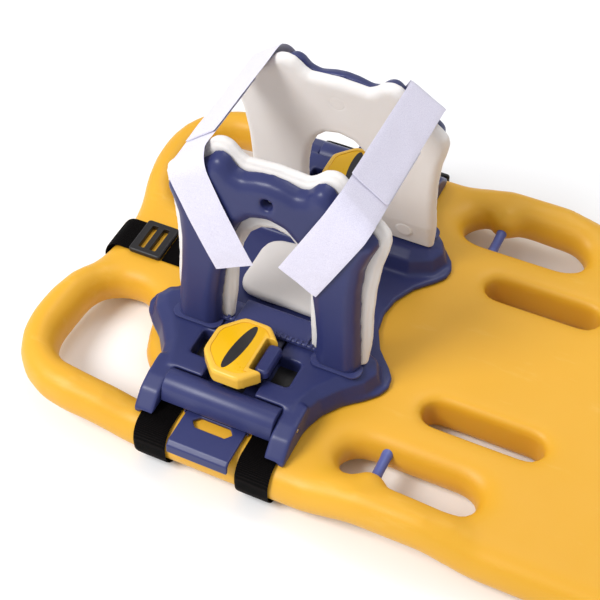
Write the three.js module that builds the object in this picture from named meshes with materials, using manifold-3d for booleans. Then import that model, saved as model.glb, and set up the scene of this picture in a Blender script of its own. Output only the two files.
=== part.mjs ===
// Spine board with a head immobiliser strapped to its head end.
// Millimetres. +X runs from the head end to the foot end, +Y to the patient's left, +Z up.
// The origin is the centre of the board, at the level of the two runners it rests on.
import * as THREE from 'three';
import { mergeVertices } from 'three/addons/utils/BufferGeometryUtils.js';
import Module from 'manifold-3d';

const wasm = await Module();
wasm.setup();

// ---- Driving dimensions ----
const gap = 0.3; // between a piece and the neighbour it sits in

const board = { length: 1829, halfWidth: 203, bottom: 5, top: 48 };
const boardEdge = { inset: 15, height: 19, steps: 2 }; // rounding of every rail
const boardEnd = { cornerRadius: 75, lobeY: 118, waistDepth: 20 };
const railArch = { height: 12, from: 128, to: 165 }; // hand-hold rails rise above the deck
const handHold = { count: 5, pitch: 267.75, halfLength: 61, inner: 131, outer: 167 };
const boss = { y: 168, z: 37, length: 17, depth: 13, height: 19 }; // swelling that carries the clip pin
const innerSlot = { offset: 40, halfLength: 55, inner: 65.5, outer: 92.5 };
const clipPin = { offset: -26, radius: 5, from: 124.5, to: 162.5, z: 34 };
const runner = { halfLength: 585, inner: 20, outer: 50 };
const cavity = { halfLength: 700, halfWidth: 52, bottom: 13, top: 40 };
const rod = { radius: 6.5, y: 44.5 };
const port = { x: 500, radius: 9 }; // fill port in the underside

const base = { centre: 213, bottom: 48.4, floor: 54, deck: 75 }; // centre is measured from the head end
const deckEdge = { inset: 14, height: 20, steps: 2 };
const channel = { halfWidth: 24.5, floor: 61.2, from: 48, to: 165 };
const pocket = { halfLength: 47, from: 100, to: 128, floor: 60 };
const cheek = { outerX: 71, innerX: 52.5 };
const lever = { y: 158.5, z: 64, radius: 13.2, pinRadius: 2 };
const webbing = { halfWidth: 15.5, offset: 48.5, thickness: 1.4, clearance: 0.8 };
const buckle = { from: 43, to: 77, y: -6, halfWidth: 21 }; // from and to are measured from the head end
const latch = { halfWidth: 28.5, hingeY: 168.5, z: 51 };

const block = { outer: 97, back: 82, face: 71, bottom: 75.8, lean: 18, leanHeight: 190 };
const shellEdge = { inset: 10, height: 13, steps: 2 };
const foamEdge = { inset: 3, height: 3, steps: 1 };
const shellHole = { z: 231, radius: 5.5 };
const lowerStud = { x: 63, z: 94 };
const knob = { y: 120, halfX: 30, halfY: 32.5, bottom: 80.5, top: 95, recessRadius: 11.5, recessTop: 90 };
const notch = { x: 15, from: -17, to: 19 }; // cut in the knob cap for the release tab
const plunger = { radius: 5, bottom: 61.8 };
const headStrap = {
  width: 39, thickness: 1.2, seatSlope: 0.7, tailSlope: 0.49, seatX: 74, level: 238, edgeDepth: 14,
};

// ---- Materials ----
const plastic = (color, roughness) => () => new THREE.MeshStandardMaterial({ color, roughness, metalness: 0 });
const yellow = plastic(0xe3ae3b, 0.45);
const blue = plastic(0x3f4478, 0.5);
const knobYellow = plastic(0xe8b000, 0.4);
const white = plastic(0xe6e2de, 0.8);
const strapWhite = plastic(0xdcd8ea, 0.9);
const black = plastic(0x14120f, 0.9);
const foamFill = plastic(0xd9cfae, 0.95);
const fibre = plastic(0x202225, 0.6);
const steel = () => new THREE.MeshStandardMaterial({ color: 0xc8c8cc, roughness: 0.25, metalness: 1 });

// ---- Helpers ----
const fromHead = (s) => s - board.length / 2;
const centreX = fromHead(base.centre);
const archMiddle = centreX + 8; // the arch stands a little to the foot side of its carriage

// Keeps only positions, with shared vertices merged.
function bare(geometry) {
  const copy = geometry.clone();
  copy.deleteAttribute('normal');
  copy.deleteAttribute('uv');
  return mergeVertices(copy, 1e-4);
}

function solid(geometry) {
  const merged = bare(geometry);
  return new wasm.Manifold(new wasm.Mesh({
    numProp: 3,
    vertProperties: Float32Array.from(merged.attributes.position.array),
    triVerts: Uint32Array.from(merged.index.array),
  }));
}

function geometryOf(body) {
  const mesh = body.getMesh();
  const geometry = new THREE.BufferGeometry();
  geometry.setAttribute('position', new THREE.BufferAttribute(mesh.vertProperties, 3));
  geometry.setIndex(new THREE.BufferAttribute(mesh.triVerts, 1));
  geometry.computeVertexNormals();
  return geometry;
}

// An extrusion whose outline is its widest section; an edge rounds both ends inward.
function extrude(shape, low, high, edge) {
  const height = edge ? edge.height : 0;
  const geometry = new THREE.ExtrudeGeometry(shape, {
    depth: high - low - 2 * height,
    bevelEnabled: Boolean(edge),
    bevelThickness: height,
    bevelSize: edge ? edge.inset : 0,
    bevelOffset: edge ? -edge.inset : 0,
    bevelSegments: edge ? edge.steps : 0,
    curveSegments: 4,
    steps: 1,
  });
  return geometry.translate(0, 0, low + height);
}

const xyz = (x, y, z) => new THREE.Vector3(x, y, z);
const alongZ = extrude;

// A shape drawn in (y, z), extruded along X.
function alongX(shape, low, high, edge) {
  const turn = new THREE.Matrix4().makeBasis(xyz(0, 1, 0), xyz(0, 0, 1), xyz(1, 0, 0));
  return extrude(shape, low, high, edge).applyMatrix4(turn);
}

// A shape drawn in (x, z), extruded along Y.
function alongY(shape, low, high, edge) {
  const turn = new THREE.Matrix4().makeBasis(xyz(1, 0, 0), xyz(0, 0, 1), xyz(0, -1, 0));
  return extrude(shape, -high, -low, edge).applyMatrix4(turn);
}

function box(x0, x1, y0, y1, z0, z1) {
  return new THREE.BoxGeometry(x1 - x0, y1 - y0, z1 - z0)
    .translate((x0 + x1) / 2, (y0 + y1) / 2, (z0 + z1) / 2);
}

function cylinder(radius, low, high, axis, sides = 16) {
  const geometry = new THREE.CylinderGeometry(radius, radius, high - low, sides);
  geometry.translate(0, (low + high) / 2, 0);
  if (axis === 'x') geometry.rotateZ(-Math.PI / 2);
  if (axis === 'z') geometry.rotateX(Math.PI / 2);
  return geometry;
}

// A closed outline, always run counter-clockwise so that its holes widen where its edge narrows.
function polygon(points) {
  const outline = points.map(([x, y]) => new THREE.Vector2(x, y));
  return new THREE.Shape(THREE.ShapeUtils.isClockWise(outline) ? outline.reverse() : outline);
}

// A smooth closed outline through a few points.
function smoothLoop(points, divisions) {
  const knots = points.map(([x, y]) => xyz(x, y, 0));
  const curve = new THREE.CatmullRomCurve3(knots, true, 'centripetal');
  return curve.getPoints(divisions).slice(0, -1).map((p) => [p.x, p.y]);
}

function roundedRectangle(x0, x1, y0, y1, radius) {
  const shape = new THREE.Shape();
  shape.absarc(x1 - radius, y1 - radius, radius, 0, Math.PI / 2);
  shape.absarc(x0 + radius, y1 - radius, radius, Math.PI / 2, Math.PI);
  shape.absarc(x0 + radius, y0 + radius, radius, Math.PI, 1.5 * Math.PI);
  shape.absarc(x1 - radius, y0 + radius, radius, 1.5 * Math.PI, 2 * Math.PI);
  return shape;
}

// Right half of an outline (x >= 0, bottom to top) closed by its mirror image.
function bothHalves(half) {
  const mirror = half.filter(([x]) => x > 0).reverse().map(([x, y]) => [-x, y]);
  return [...half, ...mirror];
}

// A flat band of even thickness on the left of a path in its own plane.
function band(path, thickness) {
  const points = path.map(([x, y]) => new THREE.Vector2(x, y));
  const offset = points.map((point, i) => {
    const before = points[Math.max(i - 1, 0)];
    const after = points[Math.min(i + 1, points.length - 1)];
    const into = point.clone().sub(before).normalize();
    const out = after.clone().sub(point).normalize();
    const along = into.clone().add(out).normalize();
    const normal = new THREE.Vector2(-along.y, along.x);
    const reference = i > 0 ? into : out;
    const stretch = normal.dot(new THREE.Vector2(-reference.y, reference.x));
    return point.clone().addScaledVector(normal, thickness / stretch);
  });
  return new THREE.Shape([...points, ...offset.reverse()]);
}

const smoothStep = (from, to, value) => THREE.MathUtils.smoothstep(value, from, to);

// The mirror image of a piece, across the plane x = 0 or y = 0.
function flipped(geometry, axis) {
  const copy = bare(geometry).scale(axis === 'x' ? -1 : 1, axis === 'y' ? -1 : 1, 1);
  const index = copy.index.array;
  for (let i = 0; i < index.length; i += 3) [index[i], index[i + 1]] = [index[i + 1], index[i]];
  copy.computeVertexNormals();
  return copy;
}

const model = new THREE.Group();

function add(name, geometry, material) {
  const mesh = new THREE.Mesh(geometry, material());
  mesh.name = name;
  model.add(mesh);
}

// Builds the piece once for the right side (negative Y) and mirrors it to the left.
function addPair(name, geometry, material) {
  add(`right_${name}`, geometry, material);
  add(`left_${name}`, flipped(geometry, 'y'), material);
}

// ---- Board ----
const holdCentres = Array.from({ length: handHold.count },
  (_, i) => (i - (handHold.count - 1) / 2) * handHold.pitch);

function boardOutline() {
  const { cornerRadius, lobeY, waistDepth } = boardEnd;
  const quarter = [];
  for (let i = 0; i <= 5; i += 1) {
    const y = (lobeY * i) / 5;
    quarter.push([fromHead(waistDepth * (1 + Math.cos((Math.PI * y) / lobeY)) / 2), y]);
  }
  for (let i = 0; i <= 5; i += 1) {
    const angle = Math.PI - (i * Math.PI) / 10;
    quarter.push([
      fromHead(cornerRadius * (1 + Math.cos(angle))),
      board.halfWidth - cornerRadius * (1 - Math.sin(angle)),
    ]);
  }
  quarter.push([fromHead(110), board.halfWidth], [fromHead(139), board.halfWidth]);
  const side = holdCentres.flatMap((x) => [-75, -30, 30, 75].map((dx) => [x + dx, board.halfWidth]));
  const footQuarter = quarter.map(([x, y]) => [-x, y]).reverse();
  const left = [...quarter, ...side, ...footQuarter];
  const right = left.slice(1, -1).reverse().map(([x, y]) => [x, -y]);
  return [...left, ...right];
}

// Opening for one hand, seen on the left side of the board.
function handHoldPoints(x) {
  const { halfLength, inner, outer } = handHold;
  const middle = (inner + outer) / 2;
  const radius = (outer - inner) / 2;
  const end = (sign) => [0, 1, 2, 3, 4].map((i) => {
    const angle = (i * Math.PI) / 4;
    return [
      x + sign * (halfLength - radius + radius * Math.sin(angle)),
      middle - sign * radius * Math.cos(angle),
    ];
  });
  return [...end(1), [x, outer], ...end(-1), [x, inner]];
}

// Large opening beside each end of the board, at the head end on the left side.
function endOpeningPoints() {
  const knots = [
    [37, 85], [36, 115], [37, 142], [49, 161], [74, 167], [110, 167], [142, 167], [158, 161],
    [159, 151], [146, 142], [127, 133], [111, 118], [102, 95], [93, 69], [78, 57], [58, 56], [43, 66],
  ];
  return smoothLoop(knots.map(([s, y]) => [fromHead(s), y]), 20);
}

// How far a point of the board rises where the rails arch over the fingers.
function lift(x, y) {
  const fromEnd = board.length / 2 - Math.abs(x);
  const outward = smoothStep(railArch.from, railArch.to, Math.abs(y));
  const atEnd = (1 - smoothStep(92, 138, fromEnd)) * smoothStep(40, 80, Math.abs(y))
    * Math.max(outward, 1 - smoothStep(18, 60, fromEnd));
  const atHold = Math.max(...holdCentres.map((hold) => 1 - smoothStep(30, 75, Math.abs(x - hold))));
  return railArch.height * Math.max(atEnd, outward * atHold);
}

// Stretches along X, each with the distance from the middle line beyond which its rails may rise.
function archedStretches() {
  const end = board.length / 2;
  const holds = holdCentres.map((x) => [x - 78, x + 78, 126]);
  return [[-end - 1, -end + 140, 38], [end - 140, end + 1, 38], ...holds];
}

// Replaces one stretch of the flat board by its arched form; nothing is lifted at the borders.
function archStretch(flat, body, from, to, side, inner) {
  const [low, high] = [side * inner, side * 250].sort((a, b) => a - b);
  const region = solid(box(from, to, low, high, -50, 100));
  const geometry = geometryOf(flat.intersect(region));
  const position = geometry.attributes.position;
  for (let i = 0; i < position.count; i += 1) {
    position.setZ(i, position.getZ(i) + lift(position.getX(i), position.getY(i)));
  }
  return body.subtract(region).add(solid(geometry));
}

function boardShell() {
  const shape = polygon(boardOutline());
  const mirrorY = (points) => points.map(([x, y]) => [x, -y]);
  const mirrorX = (points) => points.map(([x, y]) => [-x, y]);
  const opening = endOpeningPoints();
  const openings = [opening, mirrorY(opening), mirrorX(opening), mirrorX(mirrorY(opening))];
  for (const x of holdCentres) openings.push(handHoldPoints(x), mirrorY(handHoldPoints(x)));
  shape.holes = openings.map((points) => new THREE.Path(points.map(([x, y]) => new THREE.Vector2(x, y))));
  const flat = solid(alongZ(shape, board.bottom, board.top, boardEdge));
  let body = flat;
  for (const [from, to, inner] of archedStretches()) {
    for (const side of [-1, 1]) body = archStretch(flat, body, from, to, side, inner);
  }
  for (const side of [-1, 1]) {
    const [low, high] = [side * runner.inner, side * runner.outer].sort((a, b) => a - b);
    const strip = roundedRectangle(-runner.halfLength, runner.halfLength, low, high, 12);
    body = body.add(solid(alongZ(strip, 0, board.bottom + 1)));
    for (const x of holdCentres) {
      const slotX = x + innerSlot.offset;
      const [inner, outer] = [side * innerSlot.inner, side * innerSlot.outer].sort((a, b) => a - b);
      const slot = roundedRectangle(slotX - innerSlot.halfLength, slotX + innerSlot.halfLength, inner, outer, 13);
      body = body.subtract(solid(alongZ(slot, -1, board.top + 1)));
      const [from, to] = [side * clipPin.from, side * clipPin.to].sort((a, b) => a - b);
      const pinX = x + clipPin.offset;
      const swelling = new THREE.SphereGeometry(1, 8, 5).scale(boss.length, boss.depth, boss.height);
      body = body.add(solid(swelling.translate(pinX, side * boss.y, boss.z)));
      const socket = cylinder(clipPin.radius + gap, from - gap, to + gap, 'y', 8);
      body = body.subtract(solid(socket.translate(pinX, 0, clipPin.z)));
    }
  }
  const { halfLength, halfWidth, bottom, top } = cavity;
  body = body.subtract(solid(box(-halfLength, halfLength, -halfWidth, halfWidth, bottom, top)));
  const fill = cylinder(port.radius, 0, cavity.bottom + 1, 'z', 12).translate(port.x, 0, 0);
  return geometryOf(body.subtract(solid(fill)));
}

add('board_shell', boardShell(), yellow);

const coreHalfWidth = rod.y - rod.radius - 2;
add('foam_core', box(
  -cavity.halfLength + gap, cavity.halfLength - gap, -coreHalfWidth, coreHalfWidth,
  cavity.bottom + gap, cavity.top - gap,
), foamFill);
addPair('stiffening_rod', cylinder(rod.radius, -cavity.halfLength + gap, cavity.halfLength - gap, 'x', 10)
  .translate(0, -rod.y, (cavity.bottom + cavity.top) / 2), fibre);
add('fill_plug', cylinder(port.radius - gap, board.bottom, cavity.bottom, 'z', 12)
  .translate(port.x, 0, 0), black);

holdCentres.forEach((x, i) => {
  addPair(`clip_pin_${i + 1}`, cylinder(clipPin.radius, -clipPin.to, -clipPin.from, 'y', 8)
    .translate(x + clipPin.offset, 0, clipPin.z), blue);
});

// ---- Base plate of the head immobiliser ----
function basePlate() {
  const quarter = [
    [82, 0], [85, 20], [95, 40], [110, 56], [117, 66], [118, 76], [114, 86], [104, 97], [88, 111],
    [76, 124], [70, 138], [69, 150], [71, 184], [69, 188], [65.5, 188], [65.5, 150], [31.5, 150], [31.5, 166],
  ];
  const left = [...quarter, ...quarter.slice().reverse().map(([x, y]) => [-x, y])];
  const outline = [...left, ...left.slice(1, -1).reverse().map(([x, y]) => [x, -y])];
  let body = solid(alongZ(polygon(outline), base.bottom, base.floor));

  const island = polygon(bothHalves([
    [0, 50], [84, 51], [105, 62], [112, 78], [105, 94], [90, 109], [78, 126], [72, 144], [70, 160],
  ]));
  const deck = solid(alongZ(island, base.deck - 50, base.deck, deckEdge));
  const below = solid(box(-200, 200, -300, 300, 0, base.bottom));
  const side = polygon([[138, base.bottom], [138, 74], [160, 72], [174, 67], [188, base.floor], [188, base.bottom]]);
  const cheeks = [1, -1].map((sign) => {
    const [low, high] = [sign * cheek.innerX, sign * cheek.outerX].sort((a, b) => a - b);
    return solid(alongX(side, low, high));
  });
  const deckSide = deck.add(cheeks[0]).add(cheeks[1]).subtract(below);

  const cuts = [
    cylinder(lever.radius + 1, -cheek.innerX, cheek.innerX, 'x', 24).translate(0, lever.y, lever.z),
    cylinder(lever.pinRadius + gap, -80, 80, 'x', 12).translate(0, lever.y, lever.z),
    box(-channel.halfWidth, channel.halfWidth, channel.from, channel.to, channel.floor, 90),
    box(-pocket.halfLength, pocket.halfLength, pocket.from, pocket.to, pocket.floor, 90),
    box(-9.5, 9.5, 68, 141, 56, 62),
  ];
  for (const sign of [-1, 1]) {
    const middle = sign * webbing.offset;
    const half = webbing.halfWidth + 0.7;
    cuts.push(box(middle - half, middle + half, 141, 200, 0, 52.2));
  }
  let halfPlate = deckSide;
  for (const cut of cuts.slice(0, 5)) halfPlate = halfPlate.subtract(solid(cut));
  const otherHalf = solid(flipped(geometryOf(halfPlate), 'y'));
  body = body.add(halfPlate).add(otherHalf);
  for (const cut of [cuts[0], ...cuts.slice(5)]) {
    body = body.subtract(solid(cut)).subtract(solid(flipped(cut, 'y')));
  }
  body = body.subtract(solid(box(-100, -68, buckle.y - 20, buckle.y + 20, 0, 50.4))); // strap tunnel
  // lugs that hold the hinge pin of each latch tab
  for (const sign of [-1, 1]) {
    for (const y of [-latch.hingeY, latch.hingeY]) {
      const x = sign * (latch.halfWidth + 1.4);
      body = body.add(solid(box(x - 0.9, x + 0.9, y - 5, y + 3.5, base.bottom, 53)));
    }
  }
  for (const y of [-latch.hingeY, latch.hingeY]) {
    const bore = cylinder(1 + gap, -40, 40, 'x', 8).translate(0, y, latch.z);
    const room = box(-latch.halfWidth - gap, latch.halfWidth + gap, Math.sign(y) > 0 ? 166 : -175,
      Math.sign(y) > 0 ? 175 : -166, 0, 60);
    body = body.subtract(solid(bore)).subtract(solid(room));
  }
  return geometryOf(body).translate(centreX, 0, 0);
}

add('base_plate', basePlate(), blue);

function headPad() {
  const half = [[0, -35], [40, -34], [50, -24], [51, 0], [50, 26], [40, 36], [0, 39]];
  const outline = smoothLoop(bothHalves(half), 26);
  const geometry = alongZ(polygon(outline), base.floor + 0.4, 63, { inset: 3, height: 3, steps: 2 });
  return geometry.translate(centreX, 0, 0);
}

add('head_pad', headPad(), white);

// Toothed rack in the floor of each channel.
function rack() {
  const teeth = [];
  for (let y = 70; y < 136; y += 6) teeth.push([y, 57.4], [y + 3, 58.2]);
  const profile = polygon([[70, 56.4], ...teeth, [139, 57.4], [139, 56.4]].map(([y, z]) => [-y, z]).reverse());
  return alongX(profile, -9, 9).translate(centreX, 0, 0);
}

addPair('rack', rack(), black);

// ---- Strap lever, latch tab and their pins ----
function strapLever() {
  const profile = new THREE.Shape();
  profile.absarc(0, 0, lever.radius, -0.4, Math.PI + 0.4);
  const half = cheek.innerX - 0.5;
  const bore = cylinder(lever.pinRadius + gap, -60, 60, 'x', 12);
  return geometryOf(solid(alongX(profile, -half, half)).subtract(solid(bore)))
    .translate(centreX, -lever.y, lever.z);
}

addPair('strap_lever', strapLever(), blue);
addPair('lever_pin', cylinder(lever.pinRadius, -cheek.outerX + 0.5, cheek.outerX - 0.5, 'x', 12)
  .translate(centreX, -lever.y, lever.z), steel);

function latchTab() {
  const side = polygon([
    [-166.7, 49.4], [-166.7, 52.6], [-204, 52.6], [-208.5, 49.5],
    [-209.5, 41], [-206.3, 41], [-205, 47.5], [-202, 49.4],
  ]);
  let body = solid(alongX(side, -latch.halfWidth, latch.halfWidth));
  const hexagon = polygon([[-19, -178], [-14, -184], [14, -184], [19, -178], [14, -172.5], [-14, -172.5]]);
  body = body.subtract(solid(alongZ(hexagon, 40, 60)));
  const bore = cylinder(1.1, -40, 40, 'x', 8).translate(0, -latch.hingeY, latch.z);
  return geometryOf(body.subtract(solid(bore))).translate(centreX, 0, 0);
}

addPair('latch_tab', latchTab(), blue);
addPair('latch_pin', cylinder(1, -latch.halfWidth - 2.2, latch.halfWidth + 2.2, 'x', 8)
  .translate(centreX, -latch.hingeY, latch.z), steel);

// ---- Head block: shell, foam liner, studs and carriage ----
// The whole block leans towards the head as it rises.
function lean(geometry) {
  const position = geometry.attributes.position;
  for (let i = 0; i < position.count; i += 1) {
    const rise = (position.getZ(i) - block.bottom) / block.leanHeight;
    position.setY(i, position.getY(i) + block.lean * rise);
  }
  geometry.computeVertexNormals();
  return geometry.translate(archMiddle, 0, 0);
}

// An arch open at the bottom: outer half outline going up, inner half outline coming down.
function arch(outer, inner) {
  const mirror = (points) => points.slice().reverse().map(([x, z]) => [-x, z]);
  return polygon([...outer, ...mirror(outer).slice(1), ...mirror(inner), ...inner.slice(1)]);
}

const belowBlock = 20; // extra length that is trimmed off square under the block
const cutBelow = () => solid(box(-150, 150, -200, 100, block.bottom - 60, block.bottom));

function blockShell() {
  const sillOuter = -86;
  const sillHalf = 48;
  const low = block.bottom - belowBlock;
  const outer = [
    [87, low], [87, 80], [85.5, 105], [83, 135], [82, 165], [84, 190], [89, 205], [93, 214], [92.5, 220.5],
    [87, 226], [64, 245.5], [57, 251.5], [50.5, 258.5], [44, 260.5], [37, 257], [31, 249.5], [24, 247.5],
    [12, 251], [0, 252.5],
  ];
  const inner = [[0, 211], [14, 207.5], [26, 196], [34, 178], [38, 155], [42, 130], [45, 105], [45, low]];
  const depth = block.outer - block.back;
  const body = solid(alongY(arch(outer, inner), -block.outer, -block.outer + 2 * depth, shellEdge));
  const behind = solid(box(-150, 150, -block.back, 100, 0, 300));
  const sill = solid(box(-sillHalf, sillHalf, sillOuter, -block.back, block.bottom, 80.4));
  let shell = body.subtract(behind).subtract(cutBelow()).add(sill);
  for (let x = -40; x <= 40; x += 5) {
    shell = shell.add(solid(box(x - 1.2, x + 1.2, sillOuter, -block.back, 80, 81.4)));
  }
  // A thin apron slides over the open end of the channel.
  const apron = box(-36, 36, -block.back - 1, -54, block.bottom, 77.6);
  shell = shell.add(solid(apron));
  const hole = cylinder(shellHole.radius, -105, -70, 'y', 14).translate(0, 0, shellHole.z);
  shell = shell.subtract(solid(hole));
  for (const x of [-lowerStud.x, lowerStud.x]) {
    shell = shell.subtract(solid(cylinder(5 + gap, -89, -70, 'y', 10).translate(x, 0, lowerStud.z)));
  }
  return lean(geometryOf(shell));
}

addPair('block_shell', blockShell(), blue);

function foamLiner() {
  const low = block.bottom - belowBlock;
  const outer = [
    [90, low], [90, 95], [88.5, 130], [89, 160], [92, 188], [96, 205], [97.5, 215], [96.5, 222], [92, 227],
    [63, 251.5], [59, 257.5], [54, 262], [48, 263.5], [41, 261.5], [33, 254], [27, 250.5], [14, 251.5], [0, 252.5],
  ];
  const inner = [[0, 194], [14, 190.5], [25, 180], [32, 163], [36, 140], [37.5, 105], [37.5, low]];
  const shape = arch(outer, inner);
  let foam = solid(alongY(shape, -block.back + gap, -block.face, foamEdge)).subtract(cutBelow());
  for (const [x, z] of [[0, shellHole.z], [-lowerStud.x, lowerStud.z], [lowerStud.x, lowerStud.z]]) {
    foam = foam.subtract(solid(cylinder(5 + gap, -90, -62, 'y', 10).translate(x, 0, z)));
  }
  return lean(geometryOf(foam));
}

addPair('foam_liner', foamLiner(), white);

function foamStud(x, z) {
  const head = -block.face + gap;
  const profile = [[0, -87], [5, -87], [5, head], [9, head], [9, head + 1.1], [7, head + 2.1], [0, head + 2.1]];
  const geometry = new THREE.LatheGeometry(profile.map(([r, y]) => new THREE.Vector2(r, y)), 10);
  return lean(bare(geometry).translate(x, 0, z));
}

addPair('foam_stud_top', foamStud(0, shellHole.z), white);
addPair('foam_stud_head_side', foamStud(-lowerStud.x, lowerStud.z), white);
addPair('foam_stud_foot_side', foamStud(lowerStud.x, lowerStud.z), white);

function carriage() {
  let body = solid(box(-23, 23, -130, -70, channel.floor + 0.8, 74.5));
  body = body.add(solid(box(-23, 23, -94, -80, 74, block.bottom - gap)));
  body = body.subtract(solid(cylinder(plunger.radius + 0.5, 50, 80, 'z', 16).translate(0, -knob.y, 0)));
  return geometryOf(body).translate(centreX, 0, 0);
}

addPair('carriage', carriage(), fibre);

// ---- Knob, locking plunger, return spring and release tab ----
function knobCap() {
  const outline = []; // an octagon with blunt corners
  const blunt = 0.12;
  for (let corner = Math.PI / 8; corner < 2 * Math.PI; corner += Math.PI / 4) {
    for (const [angle, reach] of [
      [corner - blunt, 1 / Math.cos(Math.PI / 8 - blunt)],
      [corner, 1.06],
      [corner + blunt, 1 / Math.cos(Math.PI / 8 - blunt)],
    ]) outline.push([knob.halfX * reach * Math.cos(angle), knob.halfY * reach * Math.sin(angle)]);
  }
  let cap = solid(alongZ(polygon(outline), knob.bottom - 3, knob.top, { inset: 3, height: 3, steps: 2 }));
  cap = cap.subtract(solid(box(-50, 50, -50, 50, 60, knob.bottom)));
  cap = cap.subtract(solid(box(notch.x, 40, notch.from, notch.to, 70, 100)));
  cap = cap.subtract(solid(cylinder(knob.recessRadius, 70, knob.recessTop, 'z', 16)));
  return geometryOf(cap).translate(centreX, -knob.y, 0);
}

addPair('knob_cap', knobCap(), knobYellow);
addPair('lock_plunger', cylinder(plunger.radius, plunger.bottom, knob.recessTop - gap, 'z', 16)
  .translate(centreX, -knob.y, 0), steel);

function returnSpring() {
  const turns = 3;
  const coil = new THREE.CatmullRomCurve3(Array.from({ length: 10 * turns + 1 }, (_, i) => {
    const angle = (i * Math.PI) / 5;
    return xyz(8.4 * Math.cos(angle), 8.4 * Math.sin(angle), 75.6 + (13.2 * i) / (10 * turns));
  }));
  const wire = new THREE.Shape().absarc(0, 0, 0.8, 0, 2 * Math.PI);
  const geometry = new THREE.ExtrudeGeometry(wire, { steps: 10 * turns, extrudePath: coil, curveSegments: 3 });
  return bare(geometry).translate(centreX, -knob.y, 0);
}

addPair('return_spring', returnSpring(), steel);

function releaseTab() {
  const top = roundedRectangle(18.5, 31, notch.from + 2, notch.to - 2, 4);
  let tab = solid(alongZ(top, 82, 92.5, { inset: 2, height: 2, steps: 1 }));
  tab = tab.add(solid(box(18.7, 22.5, -6, 8, 75, 84)));
  return geometryOf(tab).translate(centreX, -knob.y, 0);
}

addPair('release_tab', releaseTab(), blue);

// ---- Head straps ----
// Each strap is two halves that overlap between the blocks. A half lies flat on the sloping corner of
// its block, turns over the edge and hangs down the outer face.
function ribbon(stations, width, thickness) {
  const last = stations.length - 1;
  const geometry = new THREE.BoxGeometry(1, 1, 1, 1, last, 1);
  const position = geometry.attributes.position;
  for (let i = 0; i < position.count; i += 1) {
    const { centre, across, normal } = stations[Math.round((position.getY(i) + 0.5) * last)];
    const point = centre.clone()
      .addScaledVector(across, position.getX(i) * width)
      .addScaledVector(normal, position.getZ(i) * thickness);
    position.setXYZ(i, point.x, point.y, point.z);
  }
  return bare(geometry);
}

// Station of a ribbon: its width slopes down away from the middle of the block.
function station(x, y, z, slope, normal) {
  return { centre: xyz(x, y, z), across: xyz(Math.cos(slope), 0, -Math.sin(slope)), normal };
}

function headStrapHalf(towardsFoot, layer, tail, reach) {
  const { width, thickness, seatSlope, tailSlope, seatX, level, edgeDepth } = headStrap;
  const up = xyz(Math.sin(seatSlope), 0, Math.cos(seatSlope));
  const distance = level + layer;
  const seatZ = (distance - seatX * up.x) / up.z;
  const leanAtTop = (block.lean * (seatZ - block.bottom)) / block.leanHeight;
  const faceY = -block.outer - 1 - layer / 2;
  const face = { x: seatX - 7, z: seatZ - 15 };
  const tip = { x: face.x - tail * Math.sin(tailSlope), z: face.z - tail * Math.cos(tailSlope) };
  const outward = xyz(0, -1, 0);
  const stations = [station(tip.x, faceY, tip.z, tailSlope, outward)];
  stations.push(station(face.x, faceY, face.z, tailSlope, outward));
  for (const turn of [0.25, 0.5, 0.75]) {
    const rise = Math.sin((turn * Math.PI) / 2);
    const back = 1 - Math.cos((turn * Math.PI) / 2);
    stations.push(station(
      THREE.MathUtils.lerp(face.x, seatX, rise),
      faceY + back * edgeDepth,
      THREE.MathUtils.lerp(face.z, seatZ, rise),
      THREE.MathUtils.lerp(tailSlope, seatSlope, turn),
      outward.clone().lerp(up, turn).normalize(),
    ));
  }
  stations.push(station(seatX, faceY + edgeDepth, seatZ, seatSlope, up));
  stations.push(station(seatX, reach - leanAtTop, seatZ, seatSlope, up));
  const geometry = ribbon(stations, width, thickness);
  return lean(towardsFoot ? geometry : flipped(geometry, 'x'));
}

const layerStep = 1.9; // the left half lies on top of the right half
add('right_chin_strap', headStrapHalf(true, 0, 78, 22), strapWhite);
add('left_chin_strap', flipped(headStrapHalf(true, layerStep, 78, 50), 'y'), strapWhite);
add('right_forehead_strap', headStrapHalf(false, 0, 86, 22), strapWhite);
add('left_forehead_strap', flipped(headStrapHalf(false, layerStep, 70, 50), 'y'), strapWhite);

// ---- Webbing round the board ----
// Quarter of the rail's rounded edge with clearance, from the deck down to the middle of the edge.
function edgePath(clearance) {
  return [0, 0.25, 0.5, 0.75, 1].map((t) => {
    const angle = (t * Math.PI) / 2;
    const out = boardEdge.inset * (1 - Math.sin(angle));
    return [-(out - clearance * Math.sin(angle)), boardEdge.height * Math.cos(angle) + clearance * Math.cos(angle)];
  });
}

function roundEdge(outermost, clearance) {
  const top = board.top - boardEdge.height;
  const bottom = board.bottom + boardEdge.height;
  const upper = edgePath(clearance).map(([inward, height]) => [outermost + inward, top + height]);
  const lower = edgePath(clearance).map(([inward, height]) => [outermost + inward, bottom - height]).reverse();
  return [...upper, ...lower];
}

function crossStrap(sign) {
  const left = roundEdge(board.halfWidth, webbing.clearance);
  const right = left.map(([y, z]) => [-y, z]).reverse();
  const level = board.top + webbing.clearance;
  const path = [[141.5, level], ...left, ...right, [-141.5, level]];
  const middle = centreX + sign * webbing.offset;
  return alongX(band(path, webbing.thickness), middle - webbing.halfWidth, middle + webbing.halfWidth);
}

add('cross_strap_head_side', crossStrap(-1), black);
add('cross_strap_foot_side', crossStrap(1), black);

// Head-end strap: from the buckle over the head end of the board and back underneath.
function headEndStrap() {
  const outermost = board.length / 2 - (boardEnd.waistDepth - 4);
  const edge = roundEdge(outermost, webbing.clearance);
  const level = board.top + webbing.clearance;
  const path = [[-fromHead(buckle.from - 0.5), level], ...edge, [-fromHead(147), board.bottom - webbing.clearance]];
  const profile = band(path.map(([x, z]) => [-x, z]).reverse(), webbing.thickness);
  return alongY(profile, buckle.y - 19, buckle.y + 19);
}

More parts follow.
